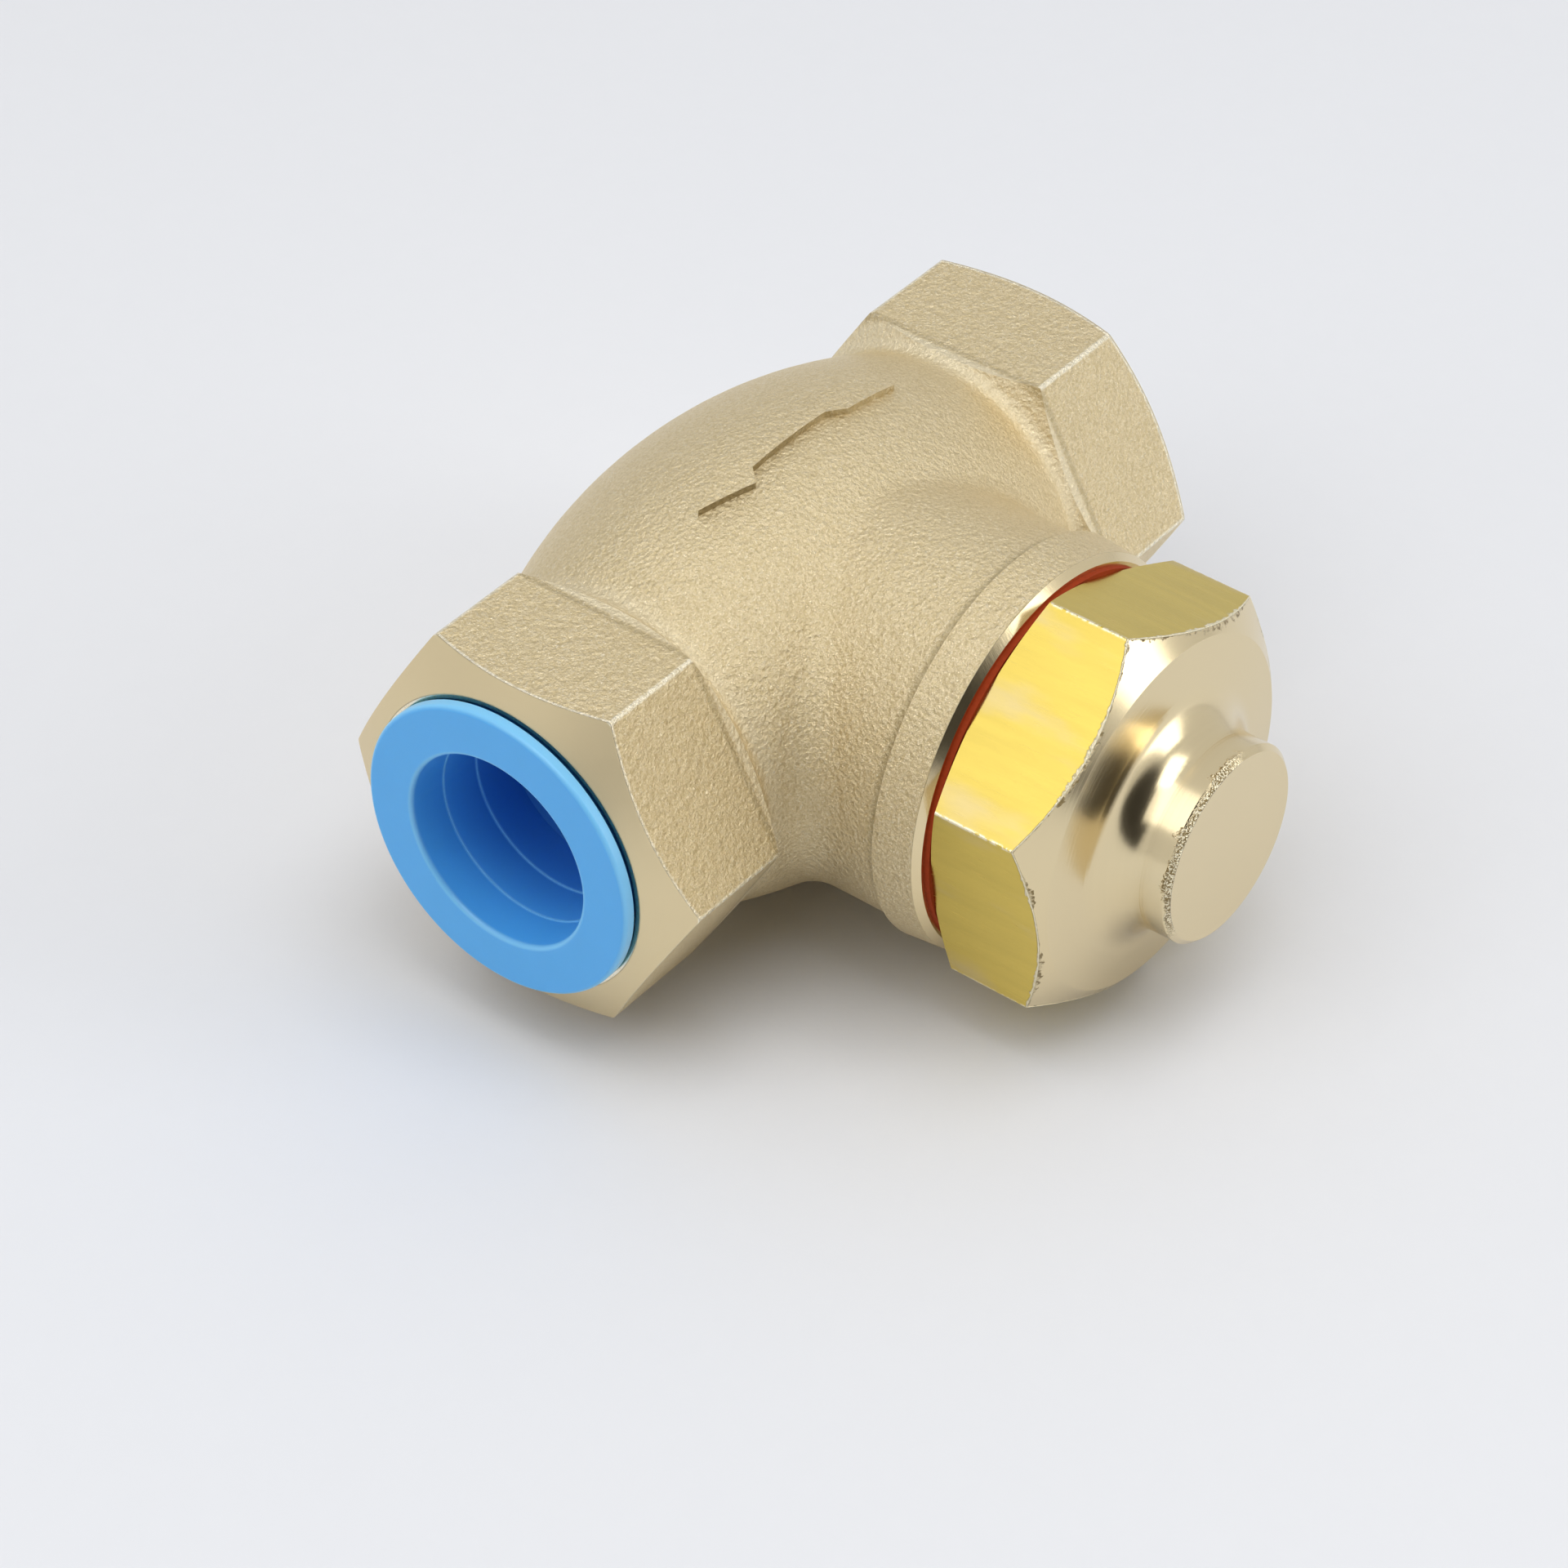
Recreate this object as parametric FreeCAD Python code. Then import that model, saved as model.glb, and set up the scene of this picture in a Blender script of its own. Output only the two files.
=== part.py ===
import FreeCAD, Part
import math
import os

# Non-return valve of the spring-loaded lift pattern, cast brass, G 3/4 female ports.
# The run axis is X with the inlet at +X, the bonnet axis is -Y, and the cast arrow faces up, +Z.
# Every shape is drawn about the crossing of the two axes, in millimetres.
# Heights along the bonnet axis count from the run axis towards the bonnet.
# The finished shapes are then moved so that the origin is the centre of the inlet port's face.

V = FreeCAD.Vector
RUN = V(1, 0, 0)
BONNET = V(0, -1, 0)
UP = V(0, 0, 1)
CROSSING = V(0, 0, 0)

# How close a sample point must lie to count as on an edge that is looked for
pick_tolerance = 0.02
# How far a cutting tool runs past the face that it cuts
overrun = 1.0

# Run of the body casting
run_length = 74.0
run_hex_flats = 32.0
run_hex_length = 12.8
hex_chamfer_angle = 29.0
hex_edge_round = 0.4
hex_root_fillet = 1.4
end_face_width = 0.48
globe_radius = 20.2
globe_end_radius = 14.4
globe_wall = 3.0
core_knee = 12.0

# Port threads, G 3/4 by 14 per inch, bored at their major radius
port_thread_radius = 13.22
port_thread_height = 1.16
port_thread_depth = 14.0
port_mouth_chamfer = 0.5
waterway_step = 0.26

# Bonnet thread, M32 by 1.5: the neck is bored at its major and the skirt turned to its minor radius
bonnet_thread_radius = 16.0
bonnet_thread_height = 0.92
skirt_length = 9.3
skirt_wall = 2.1
bonnet_bore_runout = 1.1

# Bonnet neck of the body casting, with the collar behind its face
neck_face = 28.3
neck_wall = 2.0
collar_step = 0.75
collar_length = 4.4
collar_draft = 0.35
rim_bevel = 0.6
neck_fillet = 4.0
crease_fillet = 0.5
# Each fillet may take this share of the room between the neck and the foot of a wrench end
hex_root_share = 0.4
neck_share = 1.02

# Seat and the S-shaped partition that carries it
seat_bore_radius = 9.0
seat_lip_width = 1.7
seat_lip_height = 1.5
seat_plate_top = 1.0
seat_plate_thickness = 3.5
partition_wall = 3.0
outlet_leg_run = 7.6
outlet_leg_drop = 14.0
inlet_leg_run = 4.3

# Gasket between the neck's face and the bonnet
gasket_thickness = 0.5
gasket_inset = 0.6
gasket_bore_clearance = 0.2

# Bonnet, turned from hexagonal bar
bonnet_hex_flats = 34.0
bonnet_hex_turn = 39.8
bonnet_corner_length = 7.7
bonnet_back_chamfer_angle = 22.0
bonnet_front_chamfer_angle = 36.0
bonnet_face_radius = 16.3
bonnet_face_slope = 8.0
bonnet_edge_round = 0.15
bonnet_height = 18.0
stub_wall = 3.56
stub_root_fillet = 3.5
stub_chamfer = 0.5
spring_pocket_depth = 4.2

# Stem guide inside the bonnet
stem_radius = 4.0
stem_running_clearance = 0.04
bush_wall = 1.5
bush_length = 14.0
boss_wall = 1.7
boss_length = 11.0
guide_relief_clearance = 0.5
guide_end_wall = 4.0

# Disc, its seal and what holds it
seal_overhang = 0.8
seal_thickness = 2.5
disc_rim_wall = 1.1
disc_web = 2.5
rim_gap_to_seat = 0.6
chamber_clearance = 1.0
lift = 5.0
lift_stop_clearance = 0.2
hub_radius = 6.0
stem_engagement = 12.5
stem_chamfer = 0.4
stud_radius = 3.0
washer_gap_to_bore = 1.5
washer_thickness = 1.2
nut_flats = 10.0
nut_height = 3.2
stud_past_nut = 1.1

# Return spring round the stem
wire_diameter = 1.0
spring_gap_to_boss = 1.66
spring_active_turns = 6
spring_closed_turns = 1
closed_turn_gap = 0.1
runs_per_turn = 12
wire_sides = 8

# Push-in plug that closes the outlet for transport
plug_flange_inset = 0.35
plug_flange_standoff = 0.4
plug_flange_thickness = 1.1
plug_flange_round = 0.4
plug_wall = 1.4
plug_length = 12.0
plug_cup_taper_angle = 1.0
plug_cup_step = 0.1
plug_cup_step_pitch = 4.0
plug_cup_steps = 2
plug_taper_angle = 2.0
plug_floor = 1.4
plug_fin_width = 1.36
plug_fin_thickness = 0.8
plug_fin_clearance = 0.1
plug_first_fin = 3.4
plug_fin_pitch = 3.6
plug_fins = 3

# Flow arrow cast on the globe, placed along the run from the crossing
arrow_height = 0.6
arrow_tip = -11.8
arrow_head_length = 5.2
arrow_head_half_width = 2.0
arrow_barb = 1.3
arrow_shaft_half_width = 0.6
arrow_tail_start = 4.6
arrow_tail_slant = 1.9
arrow_tail_half_width = 1.6
arrow_tail_end = 13.1

# Radii that follow from the values above
port_minor_radius = port_thread_radius - port_thread_height
port_mouth_radius = port_thread_radius + port_mouth_chamfer
end_face_radius = port_mouth_radius + end_face_width
waterway_radius = port_minor_radius - waterway_step
neck_radius = bonnet_thread_radius + neck_wall
collar_radius = neck_radius + collar_step
seat_lip_radius = seat_bore_radius + seat_lip_width
seal_radius = seat_lip_radius + seal_overhang
disc_radius = seal_radius + disc_rim_wall
chamber_radius = disc_radius + chamber_clearance
washer_radius = seat_bore_radius - washer_gap_to_bore
guide_bore_radius = stem_radius + stem_running_clearance
bush_radius = guide_bore_radius + bush_wall
boss_radius = bush_radius + boss_wall
stub_radius = bush_radius + stub_wall
spring_radius = boss_radius + spring_gap_to_boss + wire_diameter / 2

# Places along the run and the bonnet axis that follow from the values above
end_face = run_length / 2
globe_half_length = end_face - run_hex_length
hex_foot = globe_half_length - (run_hex_flats / math.sqrt(3) - globe_end_radius) * math.tan(
    math.radians(hex_chamfer_angle))
port_bottom = end_face - port_thread_depth
seat_plate_bottom = seat_plate_top - seat_plate_thickness
seat_face = seat_plate_top + seat_lip_height
seal_back = seat_face + seal_thickness
disc_back = seal_back + disc_web
washer_face = seat_face - washer_thickness
bonnet_back = neck_face + gasket_thickness
bonnet_ceiling = bonnet_back + spring_pocket_depth
boss_end = bonnet_ceiling - boss_length
bush_top = boss_end + bush_length
stub_end = bonnet_back + bonnet_height


def tan(degrees):
    return math.tan(math.radians(degrees))


def corner_radius(flats):
    return flats / math.sqrt(3)


# The direction in which radii are drawn for an axis
def side_of(axis):
    return V(0, 1, 0) if axis == RUN else V(1, 0, 0)


# Radius of the globe's outside at a place along the run, on an arc through its crown and its ends
def globe_reach(x):
    rise = globe_radius - globe_end_radius
    bow = (globe_half_length ** 2 + rise ** 2) / (2 * rise)
    return globe_radius - bow + math.sqrt(bow ** 2 - x ** 2)


# Turns a closed outline of (radius, height) points about an axis
def turned(axis, points):
    side = side_of(axis)
    corners = [side * r + axis * h for r, h in points + points[:1]]
    return Part.Face(Part.makePolygon(corners)).revolve(CROSSING, axis, 360)


def rod(axis, radius, start, end):
    return Part.makeCylinder(radius, end - start, axis * start, axis)


def ring(axis, outer, inner, start, end):
    return rod(axis, outer, start, end).cut(rod(axis, inner, start, end))


# Hexagonal prism along an axis, with its first corner at an angle from the side direction
def hexagon(axis, flats, start, end, turn=0.0):
    corners = []
    for k in range(7):
        a = math.radians(turn + 60 * k)
        spoke = side_of(axis) * math.cos(a) + UP * math.sin(a)
        corners.append(axis * start + spoke * corner_radius(flats))
    return Part.Face(Part.makePolygon(corners)).extrude(axis * (end - start))


# The globe's round form, raised by an offset
def globe(offset):
    end = V(globe_half_length, globe_end_radius + offset, 0)
    start = V(-end.x, end.y, 0)
    crown = Part.Arc(start, V(0, globe_radius + offset, 0), end).toShape()
    rest = Part.makePolygon([end, V(end.x, 0, 0), V(start.x, 0, 0), start])
    return Part.Face(Part.Wire([crown] + rest.Edges)).revolve(CROSSING, RUN, 360)


# Flat outline in the plane of the two axes, given as (x, height), and as deep as the globe
def slab(points):
    corners = [V(x, -h, -globe_radius) for x, h in points + points[:1]]
    return Part.Face(Part.makePolygon(corners)).extrude(UP * (2 * globe_radius))


def distance_from(axis, point):
    return point.distanceToLine(CROSSING, axis)


# Edges of a shape whose sample points all pass a test
def edges_where(shape, test):
    chosen = []
    for e in shape.Edges:
        step = (e.LastParameter - e.FirstParameter) / 4
        points = [e.valueAt(e.FirstParameter + step * k) for k in range(5)]
        if all(test(p) for p in points):
            chosen.append(e)
    return chosen


# Rounds the circular edge at a radius and height about an axis
def rounded_at(shape, axis, radius, height, size):
    def on_circle(p):
        off_radius = abs(distance_from(axis, p) - radius)
        return off_radius < pick_tolerance and abs(p.dot(axis) - height) < pick_tolerance

    return shape.makeFillet(size, edges_where(shape, on_circle))


# The inlet-side shape, or its mirror image for the outlet side
def on_side(shape, direction):
    return shape if direction > 0 else shape.mirror(CROSSING, RUN)


# Rounds the long edges of a prism
def softened(prism, axis, size):
    def is_long(e):
        run = e.lastVertex().Point - e.firstVertex().Point
        return abs(run.dot(axis)) > pick_tolerance

    return prism.makeFillet(size, [e for e in prism.Edges if is_long(e)])


# One wrench end of the body: hexagon with a turned chamfer on both of its ends
def run_hex(direction):
    corner = corner_radius(run_hex_flats)
    front = end_face - (corner - end_face_radius) * tan(hex_chamfer_angle)
    back = end_face - run_hex_length
    root = back - corner * tan(hex_chamfer_angle)
    envelope = turned(RUN, [
        (0, end_face), (end_face_radius, end_face), (corner, front), (corner, back), (0, root)])
    prism = hexagon(RUN, run_hex_flats, root - overrun, end_face + overrun)
    return on_side(softened(prism, RUN, hex_edge_round).common(envelope), direction)


# Neck with the collar that backs the gasket
def neck():
    collar_back = neck_face - collar_length
    tip = collar_radius - collar_draft
    return turned(BONNET, [
        (0, 0), (neck_radius, 0), (neck_radius, collar_back), (collar_radius, collar_back),
        (tip, neck_face - rim_bevel), (tip - rim_bevel, neck_face), (0, neck_face)])


# Outside of the casting, with the fillets where its round forms meet
def body_outside():
    solid = globe(0).fuse([run_hex(1), run_hex(-1), neck()]).removeSplitter()
    room = hex_foot - neck_radius

    def at_hex_root(p):
        on_globe = abs(distance_from(RUN, p) - globe_reach(p.x)) < pick_tolerance
        return on_globe and neck_radius < abs(p.x) < globe_half_length - pick_tolerance

    def at_neck_root(p):
        return abs(distance_from(BONNET, p) - neck_radius) < pick_tolerance and -p.y < globe_radius

    hex_fillet = min(hex_root_fillet, room * hex_root_share)
    solid = solid.makeFillet(hex_fillet, edges_where(solid, at_hex_root))
    solid = solid.makeFillet(min(neck_fillet, room * neck_share), edges_where(solid, at_neck_root))
    return rounded_at(solid, BONNET, neck_radius, neck_face - collar_length, crease_fillet)


# Raised flow arrow, which points to the outlet
def flow_arrow():
    barb = arrow_tip + arrow_head_length
    half = [
        (arrow_tip, 0), (barb, arrow_head_half_width), (barb + arrow_barb, arrow_shaft_half_width),
        (arrow_tail_start, arrow_shaft_half_width),
        (arrow_tail_start + arrow_tail_slant, arrow_tail_half_width),
        (arrow_tail_end, arrow_tail_half_width)]
    outline = half + [(x, -y) for x, y in reversed(half[1:])]
    corners = [V(x, y, 0) for x, y in outline + outline[:1]]
    prism = Part.Face(Part.makePolygon(corners)).extrude(UP * globe_radius * 2)
    return prism.common(globe(arrow_height))


# Hollow of the casting between the ports, tapered in two steps from the middle to each end
def cavity():
    knee = globe_reach(core_knee) - globe_wall
    return turned(RUN, [
        (0, -port_bottom), (waterway_radius, -port_bottom), (knee, -core_knee),
        (globe_radius - globe_wall, 0), (knee, core_knee), (waterway_radius, port_bottom),
        (0, port_bottom)])


# Round chamber above the seat, in which the disc moves
def chamber():
    return rod(BONNET, chamber_radius, seat_plate_top, neck_face)


# One threaded port with its mouth chamfer
def port_bore(direction):
    bore = turned(RUN, [
        (0, port_bottom), (port_thread_radius, port_bottom),
        (port_thread_radius, end_face - port_mouth_chamfer), (port_mouth_radius, end_face),
        (port_mouth_radius, end_face + overrun), (0, end_face + overrun)])
    return on_side(bore, direction)


# Body casting, apart from the partition inside it
def valve_body():
    thread_end = neck_face - skirt_length - bonnet_bore_runout
    solid = body_outside().fuse(flow_arrow())
    solid = solid.cut([cavity(), chamber(), port_bore(1), port_bore(-1)])
    return solid.cut(rod(BONNET, bonnet_thread_radius, thread_end, neck_face + overrun))


# Z-shaped wall across the hollow, between inlet and outlet, with the raised seat in its middle
def seat_partition():
    crown = globe_radius - globe_wall
    under_inlet_leg = chamber_radius + partition_wall
    under_outlet_leg = partition_wall / 2 - chamber_radius
    wall = slab([
        (-chamber_radius - outlet_leg_run, seat_plate_top - outlet_leg_drop),
        (-chamber_radius, seat_plate_top), (chamber_radius, seat_plate_top),
        (chamber_radius + inlet_leg_run, crown), (under_inlet_leg + inlet_leg_run, crown),
        (under_inlet_leg, seat_plate_bottom), (under_outlet_leg, seat_plate_bottom),
        (under_outlet_leg - outlet_leg_run, seat_plate_bottom - outlet_leg_drop)])
    wall = wall.common(cavity()).cut(chamber())
    wall = wall.fuse(rod(BONNET, seat_lip_radius, seat_plate_bottom, seat_face))
    seat_bore = rod(BONNET, seat_bore_radius, seat_plate_bottom - overrun, seat_face + overrun)
    return wall.cut(seat_bore).removeSplitter()


# Flat ring between the neck and the bonnet
def bonnet_gasket():
    inner = bonnet_thread_radius + gasket_bore_clearance
    return ring(BONNET, neck_radius - gasket_inset, inner, neck_face, bonnet_back)


# Bonnet: hexagon with a stub that holds the stem guide, and a threaded skirt behind it
def bonnet():
    corner = corner_radius(bonnet_hex_flats)
    half_flats = bonnet_hex_flats / 2
    corner_back = bonnet_back + (corner - half_flats) * tan(bonnet_back_chamfer_angle)
    corner_front = corner_back + bonnet_corner_length
    face_edge = corner_front + (corner - bonnet_face_radius) * tan(bonnet_front_chamfer_angle)
    stub_root = face_edge + (bonnet_face_radius - stub_radius) * tan(bonnet_face_slope)
    skirt = bonnet_thread_radius - bonnet_thread_height
    skirt_end = neck_face - skirt_length
    relief = stem_radius + guide_relief_clearance
    relief_top = stub_end - guide_end_wall
    blank = turned(BONNET, [
        (0, stub_end), (stub_radius - stub_chamfer, stub_end), (stub_radius, stub_end - stub_chamfer),
        (stub_radius, stub_root), (bonnet_face_radius, face_edge), (corner, corner_front),
        (corner, corner_back), (half_flats, bonnet_back), (skirt, bonnet_back), (skirt, skirt_end),
        (skirt - skirt_wall, skirt_end), (skirt - skirt_wall, bonnet_ceiling),
        (boss_radius, bonnet_ceiling), (boss_radius, boss_end), (bush_radius, boss_end),
        (bush_radius, bush_top), (relief, bush_top), (relief, relief_top), (0, relief_top)])
    blank = rounded_at(blank, BONNET, stub_radius, stub_root, stub_root_fillet)
    bar = hexagon(BONNET, bonnet_hex_flats, 0, stub_end + overrun, bonnet_hex_turn)
    return blank.common(softened(bar, BONNET, bonnet_edge_round))


# Plain sleeve pressed into the boss, in which the stem slides
def guide_bush():
    return ring(BONNET, bush_radius, guide_bore_radius, boss_end, bush_top)


# Disc holder: stem and hub above, rimmed cup for the seal and threaded stud below
def disc_holder():
    stem_top = boss_end + stem_engagement
    hub_top = boss_end - lift - lift_stop_clearance
    rim = seat_face + rim_gap_to_seat
    stud_end = washer_face - nut_height - stud_past_nut
    return turned(BONNET, [
        (0, stem_top), (stem_radius - stem_chamfer, stem_top), (stem_radius, stem_top - stem_chamfer),
        (stem_radius, hub_top), (hub_radius, hub_top), (hub_radius, disc_back),
        (disc_radius - disc_rim_wall, disc_back), (disc_radius, disc_back - disc_rim_wall),
        (disc_radius, rim), (seal_radius, rim), (seal_radius, seal_back), (stud_radius, seal_back),
        (stud_radius, stud_end), (0, stud_end)])


# Rubber ring in the cup, which meets the seat's lip
def disc_seal():
    return ring(BONNET, seal_radius, stud_radius, seat_face, seal_back)


def seal_washer():
    return ring(BONNET, washer_radius, stud_radius, washer_face, seat_face)


def seal_nut():
    start = washer_face - nut_height
    hole = rod(BONNET, stud_radius, start - overrun, washer_face + overrun)
    return hexagon(BONNET, nut_flats, start, washer_face).cut(hole)


# Height of the spring's wire after a number of turns, with a closed turn at each end
def wire_height(turn):
    low = disc_back + wire_diameter / 2
    high = bonnet_ceiling - wire_diameter / 2
    closed_pitch = wire_diameter + closed_turn_gap
    closed_rise = closed_pitch * spring_closed_turns
    open_pitch = (high - low - 2 * closed_rise) / spring_active_turns
    if turn < spring_closed_turns:
        return low + closed_pitch * turn
    open_turn = min(turn - spring_closed_turns, spring_active_turns)
    last = turn - spring_closed_turns - open_turn
    return low + closed_rise + open_pitch * open_turn + closed_pitch * last


# Outline of the wire across its first run, with a few flat sides in place of the circle
def wire_section(start, run):
    out = run.cross(BONNET).normalize() * wire_diameter / 2
    up = out.cross(run).normalize() * wire_diameter / 2
    corners = []
    for k in range(wire_sides + 1):
        a = 2 * math.pi * k / wire_sides
        corners.append(start + out * math.cos(a) + up * math.sin(a))
    return Part.makePolygon(corners)


# Compression spring between the disc's back and the bonnet, its wire in short straight runs
def return_spring():
    points = []
    for k in range((spring_active_turns + 2 * spring_closed_turns) * runs_per_turn + 1):
        turn = k / runs_per_turn
        a = 2 * math.pi * turn
        spoke = V(math.cos(a), 0, math.sin(a))
        points.append(spoke * spring_radius + BONNET * wire_height(turn))
    path = Part.makePolygon(points)
    section = wire_section(points[0], points[1] - points[0])
    mitred = 1
    return path.makePipeShell([section], True, False, mitred)


# Hollow plug with a flange and soft fins, pushed into the outlet for transport
def outlet_plug():
    flange_back = end_face + plug_flange_standoff
    front = flange_back + plug_flange_thickness
    tip = end_face - plug_length
    floor = tip + plug_floor
    flange = end_face_radius - plug_flange_inset
    fin = port_minor_radius - plug_fin_clearance
    shank = fin - plug_fin_width
    hole = shank - plug_wall
    taper = tan(plug_taper_angle)
    cup_taper = tan(plug_cup_taper_angle)
    outline = [(0, floor), (hole - cup_taper * (front - floor) - plug_cup_step * plug_cup_steps, floor)]
    for k in range(plug_cup_steps, 0, -1):
        depth = plug_cup_step_pitch * k
        ledge = hole - cup_taper * depth - plug_cup_step * k
        outline += [(ledge, front - depth), (ledge + plug_cup_step, front - depth)]
    outline += [(hole, front), (flange, front), (flange, flange_back), (shank, flange_back)]
    for k in range(plug_fins):
        near = plug_first_fin + plug_fin_pitch * k
        far = near + plug_fin_thickness
        outline += [
            (shank - taper * near, end_face - near), (fin, end_face - near),
            (fin, end_face - far), (shank - taper * far, end_face - far)]
    outline += [(shank - taper * plug_length, tip), (0, tip)]
    plug = turned(RUN, outline)
    for radius in (hole, flange):
        plug = rounded_at(plug, RUN, radius, front, plug_flange_round)
    return on_side(plug, -1)


parts = {
    "valve_body": valve_body(),
    "seat_partition": seat_partition(),
    "bonnet_gasket": bonnet_gasket(),
    "bonnet": bonnet(),
    "guide_bush": guide_bush(),
    "disc_holder": disc_holder(),
    "disc_seal": disc_seal(),
    "seal_washer": seal_washer(),
    "seal_nut": seal_nut(),
    "return_spring": return_spring(),
    "outlet_plug": outlet_plug(),
}

os.makedirs("parts", exist_ok=True)
for name, shape in parts.items():
    shape.translate(V(-end_face, 0, 0))
    shape.exportStep("parts/" + name + ".step")
    print(name, shape.isValid(), len(shape.Solids), round(shape.Volume, 1), "mm3")
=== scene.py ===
import bmesh
import bpy
import math
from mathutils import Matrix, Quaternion, Vector


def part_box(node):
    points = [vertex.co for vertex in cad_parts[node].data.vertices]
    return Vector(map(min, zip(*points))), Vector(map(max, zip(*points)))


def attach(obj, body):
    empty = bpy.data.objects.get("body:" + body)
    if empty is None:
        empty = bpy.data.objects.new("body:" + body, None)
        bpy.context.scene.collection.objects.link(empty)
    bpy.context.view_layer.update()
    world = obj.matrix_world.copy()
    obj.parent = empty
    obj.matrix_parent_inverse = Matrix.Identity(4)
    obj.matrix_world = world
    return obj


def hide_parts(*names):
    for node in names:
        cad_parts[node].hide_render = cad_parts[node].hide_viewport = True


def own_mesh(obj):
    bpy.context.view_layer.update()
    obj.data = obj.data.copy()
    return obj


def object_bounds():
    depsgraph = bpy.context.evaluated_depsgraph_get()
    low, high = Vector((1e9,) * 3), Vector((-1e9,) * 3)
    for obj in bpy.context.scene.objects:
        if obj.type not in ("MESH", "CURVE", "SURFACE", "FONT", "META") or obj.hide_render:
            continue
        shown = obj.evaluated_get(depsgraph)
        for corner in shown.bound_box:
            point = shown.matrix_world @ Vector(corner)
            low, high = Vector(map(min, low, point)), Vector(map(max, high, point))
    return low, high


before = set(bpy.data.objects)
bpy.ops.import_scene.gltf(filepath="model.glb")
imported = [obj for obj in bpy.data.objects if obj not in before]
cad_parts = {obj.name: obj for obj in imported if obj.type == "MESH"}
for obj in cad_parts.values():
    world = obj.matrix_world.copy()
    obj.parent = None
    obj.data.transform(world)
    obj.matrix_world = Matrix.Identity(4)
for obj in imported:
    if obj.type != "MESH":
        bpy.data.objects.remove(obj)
cad_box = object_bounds()

# The studio: pale paper that fades into a backdrop of the same grey, and a camera where the
# photographer stood. The main light falls from the outlet's side, the room in front is dark, and a
# lamp overhead and a low strip on the right give the turned brass something to reflect.

MM = 0.001
body_low, body_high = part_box("valve_body")
RUN_LENGTH = body_high.x - body_low.x
CROSSING_X = (body_high.x + body_low.x) / 2
FLOOR_Z = cad_box[0].z


class Finish:
    """A material built from nodes, in metres on the piece's own Object coordinates."""

    def __init__(self, name):
        self.material = bpy.data.materials.new(name)
        self.material.use_nodes = True
        self.nodes = self.material.node_tree.nodes
        self.links = self.material.node_tree.links
        self.shader = self.nodes["Principled BSDF"]
        lookup = self.nodes.new("ShaderNodeTexCoord")
        self.place = lookup.outputs["Object"]
        self.x, self.y, self.z = self.node("ShaderNodeSeparateXYZ", {"Vector": self.place}).outputs
        self.upward = self.node("ShaderNodeSeparateXYZ", {"Vector": lookup.outputs["Normal"]}).outputs[2]

    def node(self, kind, inputs, **settings):
        made = self.nodes.new(kind)
        for key, value in settings.items():
            setattr(made, key, value)
        for key, value in inputs.items():
            if isinstance(value, bpy.types.NodeSocket):
                self.links.new(value, made.inputs[key])
            else:
                made.inputs[key].default_value = value
        return made

    def math(self, operation, a, b=0.0):
        return self.node("ShaderNodeMath", {0: a, 1: b}, operation=operation).outputs[0]

    def add(self, a, b):
        return self.math("ADD", a, b)

    def times(self, a, b):
        return self.math("MULTIPLY", a, b)

    def most(self, a, b):
        return self.math("MAXIMUM", a, b)

    def radius(self, a, b):
        return self.math("SQRT", self.add(self.times(a, a), self.times(b, b)))

    def rise(self, value, low, high, start=0.0, end=1.0):
        """Goes smoothly from start to end as the value goes from low to high."""
        inputs = {"Value": value, "From Min": low, "From Max": high, "To Min": start, "To Max": end}
        return self.node("ShaderNodeMapRange", inputs, interpolation_type="SMOOTHSTEP").outputs["Result"]

    def noise(self, size, detail=2.0, stretch=(1, 1, 1), roughness=0.55):
        """Noise with spots of about that size, drawn out along an axis by its stretch."""
        scale = [1 / (size * s) for s in stretch]
        placed = self.node("ShaderNodeVectorMath", {0: self.place, 1: scale}, operation="MULTIPLY")
        inputs = {"Vector": placed.outputs[0], "Scale": 1.0, "Detail": detail, "Roughness": roughness}
        return self.node("ShaderNodeTexNoise", inputs).outputs["Fac"]

    def rings(self, radius, height, size):
        """Noise that stays the same all round an axis, as the marks of a lathe's tool do."""
        placed = self.node("ShaderNodeCombineXYZ", {"X": radius, "Y": height, "Z": 0.0})
        inputs = {"Vector": placed.outputs[0], "Scale": 1 / size, "Detail": 3.0, "Roughness": 0.6}
        return self.node("ShaderNodeTexNoise", inputs).outputs["Fac"]

    def dents(self, size):
        """Round dents of about that size, close together, as blasting shot leaves them."""
        placed = self.node("ShaderNodeVectorMath", {0: self.place, 1: [1 / size] * 3}, operation="MULTIPLY")
        cells = self.node("ShaderNodeTexVoronoi", {"Vector": placed.outputs[0], "Scale": 1.0})
        return cells.outputs["Distance"]

    def mix(self, share, a, b):
        made = self.node("ShaderNodeMix", {0: share}, data_type="RGBA")
        for index, value in ((6, a), (7, b)):
            if isinstance(value, bpy.types.NodeSocket):
                self.links.new(value, made.inputs[index])
            else:
                made.inputs[index].default_value = (*value, 1.0)
        return made.outputs[2]

    def bump(self, height, depth):
        inputs = {"Height": height, "Distance": depth, "Strength": 1.0}
        return self.node("ShaderNodeBump", inputs).outputs["Normal"]

    def set(self, **sockets):
        for key, value in sockets.items():
            name = key.replace("_", " ")
            if isinstance(value, bpy.types.NodeSocket):
                self.links.new(value, self.shader.inputs[name])
            else:
                self.shader.inputs[name].default_value = value


def dress(piece, finish):
    piece.data.materials.clear()
    piece.data.materials.append(finish.material)


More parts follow.
